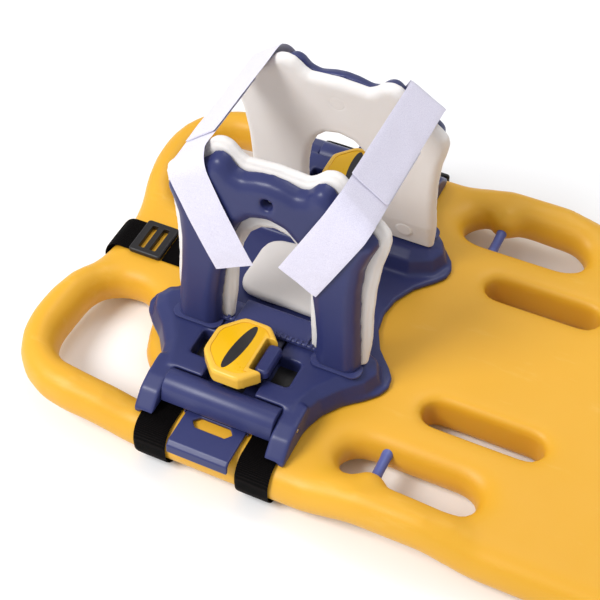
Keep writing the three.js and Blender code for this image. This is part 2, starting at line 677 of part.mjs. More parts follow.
add('head_end_strap', headEndStrap(), black);
add('head_end_anchor_strap', box(fromHead(buckle.to + 0.5), fromHead(144), buckle.y - 19, buckle.y + 19,
  board.top + gap, board.top + gap + webbing.thickness), black);

function ladderBuckle() {
  let frame = solid(alongZ(roundedRectangle(fromHead(buckle.from), fromHead(buckle.to),
    buckle.y - buckle.halfWidth, buckle.y + buckle.halfWidth, 3), board.top + 0.5, board.top + 6,
  { inset: 1.2, height: 1.2, steps: 1 }));
  for (const s of [54, 66]) {
    frame = frame.subtract(solid(box(fromHead(s - 3), fromHead(s + 3), buckle.y - 15, buckle.y + 15, 40, 60)));
  }
  return geometryOf(frame);
}

add('head_end_buckle', ladderBuckle(), black);

function strapSlider() {
  const middle = centreX + webbing.offset;
  const outside = board.halfWidth + webbing.clearance + webbing.thickness + 0.4;
  let frame = solid(alongY(roundedRectangle(middle - 18, middle + 18, 12, 40, 3), outside, outside + 3.9,
    { inset: 1.2, height: 1.2, steps: 1 }));
  for (const z of [20.5, 31.5]) {
    frame = frame.subtract(solid(box(middle - 14, middle + 14, outside - 1, outside + 6, z - 2.5, z + 2.5)));
  }
  return geometryOf(frame);
}

add('side_strap_slider', strapSlider(), black);

export default model;
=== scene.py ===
"""Looks for a spine board with a head immobiliser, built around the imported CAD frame."""
import math

import bpy
import bmesh
from mathutils import Matrix, Vector, noise


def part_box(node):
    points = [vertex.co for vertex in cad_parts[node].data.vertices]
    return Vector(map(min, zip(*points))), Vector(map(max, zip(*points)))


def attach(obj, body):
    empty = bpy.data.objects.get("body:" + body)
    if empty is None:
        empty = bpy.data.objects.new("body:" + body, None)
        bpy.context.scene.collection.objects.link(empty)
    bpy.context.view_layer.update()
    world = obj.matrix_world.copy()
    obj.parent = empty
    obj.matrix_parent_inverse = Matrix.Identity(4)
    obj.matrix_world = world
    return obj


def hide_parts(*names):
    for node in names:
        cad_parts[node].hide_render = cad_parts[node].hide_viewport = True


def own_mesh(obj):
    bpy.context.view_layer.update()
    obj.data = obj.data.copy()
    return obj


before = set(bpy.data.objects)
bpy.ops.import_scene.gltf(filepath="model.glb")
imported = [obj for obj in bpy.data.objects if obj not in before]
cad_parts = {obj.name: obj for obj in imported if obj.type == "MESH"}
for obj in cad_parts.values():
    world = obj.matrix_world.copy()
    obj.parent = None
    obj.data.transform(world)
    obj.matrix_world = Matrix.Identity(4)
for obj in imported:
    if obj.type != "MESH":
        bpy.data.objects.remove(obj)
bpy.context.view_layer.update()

# The head end is at low X, the patient's right side at low Y. Every length is in metres.
SIDES = (("right", -1), ("left", 1))
CENTRE_X = sum(c.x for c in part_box("base_plate")) / 2


# ---------------------------------------------------------------- materials
class Shader:
    """A node material. Its texture coordinates are the shared frame, in metres."""

    def __init__(self, name, roughness=0.5, metallic=0.0):
        self.material = bpy.data.materials.new(name)
        self.material.use_nodes = True
        self.nodes = self.material.node_tree.nodes
        self.links = self.material.node_tree.links
        self.bsdf = self.nodes["Principled BSDF"]
        self.bsdf.inputs["Roughness"].default_value = roughness
        self.bsdf.inputs["Metallic"].default_value = metallic
        self.place = self.nodes.new("ShaderNodeTexCoord").outputs["Object"]

    def node(self, kind, **values):
        made = self.nodes.new(kind)
        for key, value in values.items():
            if key in made.inputs:
                made.inputs[key].default_value = value
            else:
                setattr(made, key, value)
        return made

    def noise(self, scale, detail=3.0, roughness=0.5, stretch=(1, 1, 1)):
        mapping = self.node("ShaderNodeMapping", Scale=stretch)
        self.links.new(self.place, mapping.inputs["Vector"])
        made = self.node("ShaderNodeTexNoise", Scale=scale, Detail=detail, Roughness=roughness)
        self.links.new(mapping.outputs["Vector"], made.inputs["Vector"])
        return made.outputs["Fac"]

    def wave(self, scale, direction, distortion=0.0):
        made = self.node("ShaderNodeTexWave", Scale=scale, Distortion=distortion, bands_direction=direction)
        self.links.new(self.place, made.inputs["Vector"])
        return made.outputs["Fac"]

    def ramp(self, value, stops):
        made = self.node("ShaderNodeValToRGB")
        ramp = made.color_ramp
        while len(ramp.elements) < len(stops):
            ramp.elements.new(0.5)
        for element, (position, colour) in zip(ramp.elements, stops):
            element.position = position
            element.color = (*colour, 1.0)
        self.links.new(value, made.inputs["Fac"])
        return made.outputs["Color"]

    def remap(self, value, low, high):
        made = self.node("ShaderNodeMapRange")
        made.inputs["To Min"].default_value = low
        made.inputs["To Max"].default_value = high
        self.links.new(value, made.inputs["Value"])
        return made.outputs["Result"]

    def math(self, operation, first, second):
        made = self.node("ShaderNodeMath", operation=operation)
        for socket, value in zip(made.inputs, (first, second)):
            if isinstance(value, (int, float)):
                socket.default_value = value
            else:
                self.links.new(value, socket)
        return made.outputs["Value"]

    def mix(self, factor, first, second):
        made = self.node("ShaderNodeMix", data_type="RGBA")
        for name, value in (("Factor", factor), ("A", first), ("B", second)):
            socket = [s for s in made.inputs if s.name == name and s.enabled][0]
            if isinstance(value, (int, float)):
                socket.default_value = value
            elif isinstance(value, tuple):
                socket.default_value = (*value, 1.0)
            else:
                self.links.new(value, socket)
        return [s for s in made.outputs if s.enabled][0]

    def edges(self):
        """1 on convex edges, 0.5 on flats, 0 in creases."""
        return self.node("ShaderNodeNewGeometry").outputs["Pointiness"]

    def colour(self, value):
        self.set("Base Color", value)

    def set(self, name, value):
        if isinstance(value, tuple):
            self.bsdf.inputs[name].default_value = (*value, 1.0)
        elif isinstance(value, (int, float)):
            self.bsdf.inputs[name].default_value = value
        else:
            self.links.new(value, self.bsdf.inputs[name])

    def bump(self, layers):
        """layers: (height, strength, distance in metres), coarse first."""
        normal = None
        for height, strength, distance in layers:
            made = self.node("ShaderNodeBump", Strength=strength, Distance=distance)
            self.links.new(height, made.inputs["Height"])
            if normal is not None:
                self.links.new(normal, made.inputs["Normal"])
            normal = made.outputs["Normal"]
        self.links.new(normal, self.bsdf.inputs["Normal"])


def moulded(name, light, dark, roughness, grain=0.00012, gloss=0.08):
    """Moulded plastic: fine grain, slow colour drift, scuffed convex edges."""
    s = Shader(name)
    drift = s.noise(5.0, 3.0)
    body = s.ramp(drift, ((0.3, dark), (0.7, light)))
    worn = tuple(min(1.0, c * 1.25 + 0.03) for c in light)
    convex = s.ramp(s.edges(), ((0.505, (0, 0, 0)), (0.56, (1, 1, 1))))
    wear_mask = s.math("MULTIPLY", convex, s.noise(60.0, 4.0))
    s.colour(s.mix(s.math("MULTIPLY", wear_mask, 0.5), body, worn))
    smear = s.noise(28.0, 5.0, 0.6)
    s.set("Roughness", s.remap(smear, roughness - gloss, roughness + gloss))
    s.set("Specular IOR Level", 0.36)
    s.bump(((s.noise(45.0, 3.0), 0.15, 0.0006), (s.noise(1400.0, 2.0), 0.35, grain)))
    return s.material


def yellow_board():
    """Moulded polyethylene with faint scuffs along the board's length."""
    s = Shader("board_yellow")
    drift = s.noise(3.2, 4.0)
    body = s.ramp(drift, ((0.3, (0.70, 0.355, 0.018)), (0.7, (0.755, 0.395, 0.026))))
    scuffs = s.ramp(s.noise(70.0, 6.0, 0.65, (0.25, 1.0, 1.0)), ((0.60, (0, 0, 0)), (0.70, (1, 1, 1))))
    s.colour(s.mix(s.math("MULTIPLY", scuffs, 0.10), body, (0.90, 0.62, 0.20)))
    s.set("Roughness", s.remap(s.noise(20.0, 5.0, 0.6), 0.38, 0.56))
    s.set("Subsurface Weight", 0.08)
    s.bsdf.inputs["Subsurface Radius"].default_value = (0.004, 0.002, 0.0008)
    s.set("Specular IOR Level", 0.4)
    s.bump(((s.noise(14.0, 2.0), 0.12, 0.0015), (s.noise(900.0, 3.0), 0.30, 0.00018)))
    return s.material


def soft_foam():
    """Closed-cell foam: matt, faintly mottled, with a fine cell texture."""
    s = Shader("white_foam", 0.78)
    s.colour(s.ramp(s.noise(9.0, 4.0), ((0.3, (0.70, 0.66, 0.635)), (0.7, (0.78, 0.755, 0.735)))))
    s.set("Subsurface Weight", 0.15)
    s.bsdf.inputs["Subsurface Radius"].default_value = (0.006, 0.005, 0.004)
    s.set("Roughness", s.remap(s.noise(50.0, 4.0), 0.62, 0.85))
    s.set("Specular IOR Level", 0.3)
    s.bump(((s.noise(60.0, 3.0), 0.25, 0.0008), (s.noise(1600.0, 2.0), 0.4, 0.00016)))
    return s.material


def brushed_loop():
    """Fuzzy white hook-and-loop strap."""
    s = Shader("white_strap", 0.95)
    fuzz = s.noise(1500.0, 5.0, 0.7)
    s.colour(s.ramp(fuzz, ((0.30, (0.60, 0.575, 0.72)), (0.62, (0.80, 0.775, 0.90)))))
    s.set("Sheen Weight", 0.6)
    s.set("Specular IOR Level", 0.15)
    weave = s.math("MULTIPLY", s.wave(420.0, "X"), s.wave(420.0, "Y"))
    s.bump(((s.noise(70.0, 3.0), 0.3, 0.0008), (weave, 0.4, 0.0002), (fuzz, 0.9, 0.0006)))
    return s.material


def woven_black(name, ribs):
    """Black webbing: ribs run across the strap, fine yarns run along it."""
    s = Shader(name, 0.7)
    rib = s.wave(260.0, ribs[0], 0.4)
    yarn = s.wave(520.0, ribs[1], 0.4)
    cloth = s.math("MULTIPLY", rib, yarn)
    s.colour(s.ramp(cloth, ((0.15, (0.0010, 0.0008, 0.0008)), (0.9, (0.022, 0.016, 0.016)))))
    s.set("Specular IOR Level", 0.06)
    s.bump(((s.noise(40.0, 2.0), 0.2, 0.0008), (rib, 1.0, 0.0010), (yarn, 0.9, 0.0008)))
    return s.material


def polished_steel():
    """Drawn steel with fine scratches along it."""
    s = Shader("steel", 0.22, 1.0)
    s.colour(s.ramp(s.noise(120.0, 3.0), ((0.3, (0.55, 0.55, 0.57)), (0.7, (0.72, 0.72, 0.74)))))
    scratches = s.noise(900.0, 3.0, 0.6, (0.05, 1.0, 1.0))
    s.set("Roughness", s.remap(scratches, 0.14, 0.34))
    s.bump(((scratches, 0.2, 0.00005),))
    return s.material


BLUE_LIGHT, BLUE_DARK = (0.030, 0.037, 0.132), (0.022, 0.027, 0.102)
MATERIALS = {
    "board_yellow": yellow_board(),
    "blue_plastic": moulded("blue_plastic", BLUE_LIGHT, BLUE_DARK, 0.36),
    "pin_blue": moulded("pin_blue", (0.10, 0.125, 0.34), (0.08, 0.10, 0.29), 0.35),
    "knob_yellow": moulded("knob_yellow", (0.84, 0.50, 0.06), (0.79, 0.44, 0.04), 0.32),
    "knob_label": moulded("knob_label", (0.82, 0.45, 0.0), (0.78, 0.41, 0.0), 0.28, 0.00004),
    "black_plastic": moulded("black_plastic", (0.016, 0.014, 0.014), (0.010, 0.009, 0.010), 0.42),
    "carriage_plastic": moulded("carriage_plastic", (0.022, 0.024, 0.06), (0.014, 0.016, 0.04), 0.5),
    "white_foam": soft_foam(),
    "white_strap": brushed_loop(),
    "cross_webbing": woven_black("cross_webbing", ("Y", "X")),
    "end_webbing": woven_black("end_webbing", ("X", "Y")),
    "steel": polished_steel(),
    "core_foam": moulded("core_foam", (0.72, 0.64, 0.44), (0.62, 0.54, 0.35), 0.8, 0.0006),
    "rod_composite": moulded("rod_composite", (0.03, 0.03, 0.035), (0.015, 0.015, 0.02), 0.45),
}


# ---------------------------------------------------------------- mesh tools
def new_object(name, data):
    made = bpy.data.objects.new(name, data)
    bpy.context.scene.collection.objects.link(made)
    return made


def finish_piece(piece, body, look, slot, *nodes, auto_angle=None):
    """Gives a piece its material, its body and the CAD nodes that it stands for; the slot is not used."""
    piece.data.materials.clear()
    piece.data.materials.append(MATERIALS[look])
    piece.data.shade_smooth()
    if auto_angle is not None:
        piece.data.set_sharp_from_angle(angle=math.radians(auto_angle))
    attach(piece, body)
    if nodes:
        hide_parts(*nodes)


def mesh_object(name, bm):
    """Turns a finished bmesh into an object, and frees it."""
    mesh = bpy.data.meshes.new(name)
    bm.to_mesh(mesh)
    bm.free()
    return new_object(name, mesh)


def skin_rings(bm, rings):
    """Joins rings of vertices, one after the other, into a closed tube with flat ends."""
    count = len(rings[0])
    for first, second in zip(rings, rings[1:]):
        for i in range(count):
            j = (i + 1) % count
            bm.faces.new((first[i], first[j], second[j], second[i]))
    bm.faces.new(rings[0])
    bm.faces.new(list(reversed(rings[-1])))


def skinned(name, bm, rings):
    """An object with one tube through the rings."""
    skin_rings(bm, rings)
    bmesh.ops.recalc_face_normals(bm, faces=bm.faces)
    return mesh_object(name, bm)


def baked(piece):
    """Replaces the mesh with the result of its modifiers."""
    depsgraph = bpy.context.evaluated_depsgraph_get()
    depsgraph.update()
    mesh = bpy.data.meshes.new_from_object(piece.evaluated_get(depsgraph))
    piece.modifiers.clear()
    old = piece.data
    piece.data = mesh
    bpy.data.meshes.remove(old)
    return piece


def joined_copy(name, *nodes):
    """A new object with the meshes of some CAD nodes."""
    bm = bmesh.new()
    for node in nodes:
        bm.from_mesh(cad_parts[node].data)
    bmesh.ops.remove_doubles(bm, verts=bm.verts, dist=1e-6)
    return mesh_object(name, bm)


def remeshed(piece, voxel, passes):
    """Even skin of small faces with softened edges, as moulded plastic has."""
    skin = piece.modifiers.new("skin", "REMESH")
    skin.mode = "VOXEL"
    skin.voxel_size = voxel
    soften = piece.modifiers.new("soften", "SMOOTH")
    soften.factor = 0.5
    soften.iterations = passes
    return baked(piece)


def keep_largest(piece):
    """Drops inner skins, such as the wall of a closed cavity."""
    bm = bmesh.new()
    bm.from_mesh(piece.data)
    seen, groups = set(), []
    for seed in bm.verts:
        if seed.index in seen:
            continue
        group, queue = [], [seed]
        seen.add(seed.index)
        while queue:
            vertex = queue.pop()
            group.append(vertex)
            for edge in vertex.link_edges:
                other = edge.other_vert(vertex)
                if other.index not in seen:
                    seen.add(other.index)
                    queue.append(other)
        groups.append(group)
    groups.sort(key=len)
    spare = [v for group in groups[:-1] for v in group]
    bmesh.ops.delete(bm, geom=spare, context="VERTS")
    bm.to_mesh(piece.data)
    bm.free()
    return piece


def bevelled(piece, width, segments=2, angle=30):
    """Rounds the edges that are sharper than an angle in degrees."""
    made = piece.modifiers.new("edge", "BEVEL")
    made.width = width
    made.segments = segments
    made.limit_method = "ANGLE"
    made.angle_limit = math.radians(angle)
    return baked(piece)


def cut(piece, cutter):
    """Subtracts a temporary object from the piece, and removes it."""
    tool = piece.modifiers.new("cut", "BOOLEAN")
    tool.operation = "DIFFERENCE"
    tool.solver = "EXACT"
    tool.object = cutter
    baked(piece)
    bpy.data.objects.remove(cutter)


def displaced(piece, move):
    """Moves each vertex by move(position), in metres."""
    for vertex in piece.data.vertices:
        vertex.co = vertex.co + move(vertex.co)
    piece.data.update()
    return piece


def prism(name, outline, low, high, to_frame=lambda x, y, z: Vector((x, y, z))):
    """Outline in its own plane, swept from low to high."""
    bm = bmesh.new()
    rings = [[bm.verts.new(to_frame(x, y, z)) for x, y in outline] for z in (low, high)]
    return skinned(name, bm, rings)


def rod_shape(name, centre, axis, radius, length):
    """A round bar, used as a cutter."""
    bm = bmesh.new()
    turn = Vector((0, 0, 1)).rotation_difference(Vector(axis)).to_matrix().to_4x4()
    bmesh.ops.create_cone(
        bm, cap_ends=True, segments=32, radius1=radius, radius2=radius, depth=length,
        matrix=Matrix.Translation(Vector(centre)) @ turn,
    )
    return mesh_object(name, bm)


def block_shape(name, low, high):
    """A box between two corners, each an (x, y, z)."""
    outline = ((low[0], low[1]), (high[0], low[1]), (high[0], high[1]), (low[0], high[1]))
    return prism(name, outline, low[2], high[2])


def catmull(points, steps):
    """Smooth open curve through a list of vectors."""
    curve = []
    last = len(points) - 1
    for i in range(last):
        a, b = points[max(i - 1, 0)], points[i]
        c, d = points[i + 1], points[min(i + 2, last)]
        for k in range(steps):
            t = k / steps
            curve.append(
                0.5 * (2 * b + (c - a) * t + (2 * a - 5 * b + 4 * c - d) * t * t
                       + (3 * b - a - 3 * c + d) * t ** 3)
            )
    curve.append(points[-1].copy())
    return curve


def band_mesh(name, centres, acrosses, normals, width, thickness, columns=14, ripple=0.0, seed=0.0):
    """A flat strap along a line of centres, thinner towards its two long edges.

    The ripple is the height of a slight waviness, and the seed picks its pattern.
    """
    edge_share = 0.35
    ripple_scale = 55
    upper = []
    for k in range(columns + 1):
        u = -1 + 2 * k / columns
        upper.append((u, (1 - abs(u) ** 10) ** 0.5 if abs(u) < 1 else 0.0))
    lower = upper[-2:0:-1]
    section = [(u, 1, fullness) for u, fullness in upper] + [(u, -1, fullness) for u, fullness in lower]
    bm = bmesh.new()
    rings = []
    for centre, across, normal in zip(centres, acrosses, normals):
        ring = []
        for u, face, fullness in section:
            depth = face * thickness / 2 * (edge_share + (1 - edge_share) * fullness)
            point = centre + across * (u * width / 2) + normal * depth
            if ripple:
                swell = noise.noise(point * ripple_scale + Vector((seed, 0, 0)))
                point = point + normal * swell * ripple
            ring.append(bm.verts.new(point))
        rings.append(ring)
    return skinned(name, bm, rings)


# ---------------------------------------------------------------- board
def build_board():
    shell = joined_copy("board", "board_shell", "fill_plug")
    remeshed(shell, voxel=0.0045, passes=12)
    keep_largest(shell)
    finish_piece(shell, "board", "board_yellow", "board_yellow", "board_shell")
    paint("foam_core", "core_foam")
    paint("right_stiffening_rod", "rod_composite")
    paint("left_stiffening_rod", "rod_composite")
    paint("fill_plug", "black_plastic")


def paint(node, look):
    """Gives a CAD node that stays as it is its finish."""
    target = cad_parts[node]
    target.data.materials.clear()
    target.data.materials.append(MATERIALS[look])


def clip_pin(name, node):
    """A round pin with a slight waist and a shoulder where it enters the moulding.

    A station is a share of the half length and a share of the radius.
    """
    radius, segments = 0.005, 28
    half_stations = ((1.0, 0.82), (0.97, 1.0), (0.62, 1.0), (0.56, 0.93))
    stations = [(-t, share) for t, share in half_stations] + [(0.0, 0.90)] + list(reversed(half_stations))
    low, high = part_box(node)
    centre = (low + high) / 2
    half_length = (high.y - low.y) / 2
    bm = bmesh.new()
    rings = []
    for t, share in stations:
        ring = []
        for k in range(segments):
            angle = 2 * math.pi * k / segments
            x, z = radius * share * math.cos(angle), radius * share * math.sin(angle)
            ring.append(bm.verts.new(centre + Vector((x, t * half_length, z))))
        rings.append(ring)
    pin = skinned(name, bm, rings)
    finish_piece(pin, "board", "pin_blue", "blue_plastic", node, auto_angle=40)


def build_clip_pins():
    for number in range(1, 6):
        for side, _ in SIDES:
            clip_pin(f"pin_{side}_{number}", f"{side}_clip_pin_{number}")


# ---------------------------------------------------------------- base plate
def build_base():
    plate = joined_copy("base", "base_plate")
    remeshed(plate, voxel=0.0014, passes=9)
    finish_piece(plate, "board", "blue_plastic", "blue_plastic", "base_plate")
    build_head_pad()
    build_window_shade_plates()
    build_racks()


def build_head_pad():
    """The foam pad, with a low crown that fades towards its rim."""
    crown_height = 0.0018
    pad = joined_copy("pad", "head_pad")
    remeshed(pad, voxel=0.0014, passes=14)
    low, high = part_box("head_pad")
    centre = (low + high) / 2

    def crown(point):
        u = (point.x - centre.x) / (high.x - low.x) * 2
        v = (point.y - centre.y) / (high.y - low.y) * 2
        dome = max(0.0, 1 - u * u) * max(0.0, 1 - v * v)
        top = max(0.0, (point.z - low.z) / (high.z - low.z))
        return Vector((0, 0, crown_height * dome * top))

    displaced(pad, crown)
    finish_piece(pad, "board", "white_foam", "white_foam", "head_pad")


def build_window_shade_plates():
    """Black plates on the floors of the four windows beside the slides: painted shade, standing in for the
    dark of the deep windows.
    """
    inner_x, outer_x = 0.0262, 0.0462
    inner_y, outer_y = 0.1008, 0.1272
    bottom, top = 0.0602, 0.0622
    for side, sign in SIDES:
        for end, place in ((-1, "head"), (1, "foot")):
            low_x, high_x = sorted((CENTRE_X + end * inner_x, CENTRE_X + end * outer_x))
            low_y, high_y = sorted((sign * inner_y, sign * outer_y))
            # Each plate is painted shade: a black sheet laid where the window is only in shadow.
            floor = block_shape(f"window_shade_plate_{side}_{place}", (low_x, low_y, bottom), (high_x, high_y, top))
            bevelled(floor, 0.0006)
            finish_piece(floor, "board", "black_plastic", "black_plastic", auto_angle=35)


def build_racks():
    for side, _ in SIDES:
        rack = joined_copy(f"{side}_rack_strip", f"{side}_rack")
        bevelled(rack, 0.0001, segments=1)
        finish_piece(rack, "board", "black_plastic", "black_plastic", f"{side}_rack", auto_angle=25)


# ---------------------------------------------------------------- lever, latch, pins
def build_lever(side, sign):
    """A roll with a bore for its pin, a flat back and a short front lip."""
    name = f"{side}_strap_lever"
    low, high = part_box(name)
    axis_y, axis_z = sign * 0.1585, 0.064
    radius, bore_radius = 0.0132, 0.0023
    arc_start, arc_end, arc_steps = -0.40, math.pi * 0.86, 40
    lip_and_flat = [
        (-0.0152, -0.0055), (-0.0149, -0.0075), (-0.0132, -0.0085), (-0.0085, -0.0080), (0.0085, -0.0052),
    ]
    outline = []
    for k in range(arc_steps + 1):
        angle = arc_start + (arc_end - arc_start) * k / arc_steps
        outline.append((radius * math.cos(angle), radius * math.sin(angle)))
    outline += lip_and_flat

    def placed(y, z, x):
        return Vector((x, axis_y - sign * y, axis_z + z))

    lever = prism(f"lever_{side}", outline, low.x, high.x, placed)
    cut(lever, rod_shape("bore", (CENTRE_X, axis_y, axis_z), (1, 0, 0), bore_radius, 0.2))
    bevelled(lever, 0.0012, segments=3, angle=35)
    finish_piece(lever, f"{side}_lever", "blue_plastic", "blue_plastic", name, auto_angle=50)
    pin = joined_copy(f"lever_pin_{side}", f"{side}_lever_pin")
    bevelled(pin, 0.0004)
    finish_piece(pin, "board", "steel", "steel", f"{side}_lever_pin", auto_angle=35)


def build_latch(side):
    latch = joined_copy(f"latch_{side}", f"{side}_latch_tab")
    remeshed(latch, voxel=0.0007, passes=5)
    finish_piece(latch, f"{side}_latch", "blue_plastic", "blue_plastic", f"{side}_latch_tab")
    pin = joined_copy(f"latch_pin_{side}", f"{side}_latch_pin")
    finish_piece(pin, "board", "steel", "steel", f"{side}_latch_pin", auto_angle=35)


# ---------------------------------------------------------------- head blocks
LEAN = 0.018 / 0.190
ARCH_X = CENTRE_X + 0.008
BLOCK_BOTTOM = 0.0758


def build_block(side, sign):
    body = f"{side}_block"
    hole_radius, hole_out, hole_z = 0.0054, 0.090, 0.231
    shell = joined_copy(f"shell_{side}", f"{side}_block_shell")
    remeshed(shell, voxel=0.0013, passes=28)
    hole = (ARCH_X, sign * (hole_out - LEAN * (hole_z - BLOCK_BOTTOM)), hole_z)
    cut(shell, rod_shape("hole", hole, (0, 1, 0), hole_radius, 0.08))
    finish_piece(shell, body, "blue_plastic", "blue_plastic", f"{side}_block_shell")
    build_sill(side, sign)
    build_collars(side, sign)
    liner = joined_copy(f"liner_{side}", f"{side}_foam_liner")
    remeshed(liner, voxel=0.0012, passes=14)
    swell_foam(liner, sign)
    finish_piece(liner, body, "white_foam", "white_foam", f"{side}_foam_liner")
    for place in ("top", "head_side", "foot_side"):
        node = f"{side}_foam_stud_{place}"
        stud = joined_copy(f"stud_{side}_{place}", node)
        remeshed(stud, voxel=0.0006, passes=4)
        finish_piece(stud, body, "white_foam", "white_foam", node)
    carriage = joined_copy(f"carriage_body_{side}", f"{side}_carriage")
    bevelled(carriage, 0.0005)
    finish_piece(carriage, body, "carriage_plastic", "carriage_plastic", f"{side}_carriage", auto_angle=35)


def build_collars(side, sign):
    """A low lip round the foot of each pillar of the arch."""
    half_x, half_y, corner, corner_steps = 0.0235, 0.0092, 0.0085, 6
    pillar_x, pillar_y = 0.0665, 0.0899
    bottom, top = 0.0759, 0.0778
    for end, place in ((-1, "head_side"), (1, "foot_side")):
        middle_x, middle_y = ARCH_X + end * pillar_x, sign * pillar_y
        outline = []
        for quarter in range(4):
            corner_x = middle_x + (half_x - corner) * (1 if quarter in (0, 3) else -1)
            corner_y = middle_y + (half_y - corner) * (1 if quarter in (0, 1) else -1)
            for k in range(corner_steps + 1):
                angle = (quarter + k / corner_steps) * math.pi / 2
                outline.append((corner_x + corner * math.cos(angle), corner_y + corner * math.sin(angle)))
        collar = prism(f"collar_{side}_{place}", outline, bottom, top)
        bevelled(collar, 0.0007)
        finish_piece(collar, f"{side}_block", "blue_plastic", "blue_plastic", auto_angle=40)


def swell_foam(liner, sign):
    """The foam bulges a little towards the head and over its top edge, not into its shell or the deck."""
    swell, rest_height, full_height = 0.0024, 0.080, 0.105
    normals = [vertex.normal.copy() for vertex in liner.data.vertices]
    for vertex, normal in zip(liner.data.vertices, normals):
        into_shell = min(1.0, max(0.0, (normal.y * sign - 0.1) / 0.4))
        raised = min(1.0, max(0.0, (vertex.co.z - rest_height) / (full_height - rest_height)))
        vertex.co += normal * swell * (1 - into_shell) * raised
    liner.data.update()


def build_sill(side, sign):
    """Ribs of the grip along the foot of the arch, in front of the foam."""
    count, half_span = 17, 0.040
    near, far = sign * 0.0858, sign * 0.0815
    section = ((-0.0013, 0.0803), (-0.0009, 0.0812), (0.0009, 0.0812), (0.0013, 0.0803))
    bm = bmesh.new()
    for k in range(count):
        x = ARCH_X - half_span + 2 * half_span * k / (count - 1)
        skin_rings(bm, [[bm.verts.new((x + dx, y, z)) for dx, z in section] for y in (near, far)])
    bmesh.ops.recalc_face_normals(bm, faces=bm.faces)
    ribs = mesh_object(f"sill_ribs_{side}", bm)
    finish_piece(ribs, f"{side}_block", "blue_plastic", "blue_plastic", auto_angle=30)


# ---------------------------------------------------------------- knob
def knob_outline(share):
    """Octagon with blunt corners, a little longer across the board."""
    half_x, half_y = 0.030 * share, 0.0325 * share
    corner_angle, steps, bluntness = 0.16, 5, 0.75
    half_side = math.pi / 8
    points = []
    for corner in range(8):
        middle = (corner + 0.5) * math.pi / 4
        for k in range(-steps, steps + 1):
            angle = middle + corner_angle * k / steps
            flat = 1 / math.cos(half_side - abs(angle - middle))
            blunt = 1 / math.cos(half_side - corner_angle)
            reach = flat - (flat - blunt) * (1 - abs(k) / steps) ** 0.5 * bluntness
            points.append((half_x * reach * math.cos(angle), half_y * reach * math.sin(angle)))
    return points


def oval_outline():
    """The plain oval on the knob's face, turned a little."""
    half_width, half_length, shift, steps = 0.0056, 0.0262, -0.002, 48
    tilt = math.radians(-8)
    points = []
    for k in range(steps):
        angle = 2 * math.pi * k / steps
        u, v = half_width * math.cos(angle), half_length * math.sin(angle)
        x, y = u * math.cos(tilt) - v * math.sin(tilt), u * math.sin(tilt) + v * math.cos(tilt)
        points.append((x + shift, y))
    return points


def build_knob(side, sign):
    """Cap with a recessed face, its oval mark, the plunger, the release tab and the spring."""
    body = f"{side}_knob"
    centre = Vector((CENTRE_X, sign * 0.120, 0))
    recess_floor, face_bottom, face_top, mark_bottom, mark_top = 0.0942, 0.0940, 0.0946, 0.0945, 0.0948
    tab_start_x, tab_near_y, tab_far_y = 0.015, -0.019, 0.017

    def placed(x, y, z):
        return Vector((centre.x + x, centre.y - sign * y, z))

    def tab_notch(margin):
        """The room that the release tab takes out of the knob's face."""
        near, far = placed(0, tab_near_y - margin, 0).y, placed(0, tab_far_y + margin, 0).y
        low_y, high_y = sorted((near, far))
        start_x, end_x = centre.x + tab_start_x - margin, centre.x + 0.05
        return block_shape("notch", (start_x, low_y, 0.08), (end_x, high_y, 0.11))

    cap = joined_copy(f"knob_{side}", f"{side}_knob_cap")
    remeshed(cap, voxel=0.0007, passes=5)
    recess = prism("recess", knob_outline(0.84), recess_floor, 0.10, placed)
    cut(recess, tab_notch(0.0025))
    cut(cap, recess)
    finish_piece(cap, body, "knob_yellow", "knob_yellow", f"{side}_knob_cap", auto_angle=45)
    face = prism(f"knob_face_{side}", knob_outline(0.83), face_bottom, face_top, placed)
    cut(face, tab_notch(0.0028))
    bevelled(face, 0.0002, angle=40)
    finish_piece(face, body, "knob_label", "knob_yellow", auto_angle=40)
    mark = prism(f"knob_mark_{side}", oval_outline(), mark_bottom, mark_top, placed)
    finish_piece(mark, body, "black_plastic", "black_plastic", auto_angle=40)
    plunger = joined_copy(f"plunger_{side}", f"{side}_lock_plunger")
    bevelled(plunger, 0.0006)
    finish_piece(plunger, body, "steel", "steel", f"{side}_lock_plunger", auto_angle=35)
    tab = joined_copy(f"release_{side}", f"{side}_release_tab")
    remeshed(tab, voxel=0.0006, passes=5)
    finish_piece(tab, f"{side}_release", "blue_plastic", "blue_plastic", f"{side}_release_tab")
    build_spring(side, centre)


def build_spring(side, centre):
    """The return spring under the knob."""
    turns, steps, wire_sides = 5, 26, 10
    bottom, height, coil_radius, wire_radius = 0.0757, 0.0130, 0.0084, 0.00075
    total = turns * steps
    bm = bmesh.new()
    rings = []
    for i in range(total + 1):
        angle = 2 * math.pi * i / steps
        spoke = Vector((math.cos(angle), math.sin(angle), 0))
        middle = Vector((centre.x, centre.y, bottom + height * i / total)) + spoke * coil_radius
        ring = []
        for k in range(wire_sides):
            turn = 2 * math.pi * k / wire_sides
            around = spoke * math.cos(turn) + Vector((0, 0, math.sin(turn)))
            ring.append(bm.verts.new(middle + around * wire_radius))
        rings.append(ring)
    spring = skinned(f"spring_{side}", bm, rings)
    finish_piece(spring, f"{side}_block", "steel", "steel", f"{side}_return_spring")
    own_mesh(spring)


# ---------------------------------------------------------------- head straps
STRAP_WIDTH, STRAP_THICKNESS = 0.039, 0.0012
BLOCK_FACE = 0.0980
SEAT_X, SEAT_LEVEL, SEAT_SLOPE, TAIL_SLOPE = 0.074, 0.2380, 0.70, 0.49
FOLD_DEPTH, FOLD_X, FOLD_Z = 0.014, 0.007, 0.015


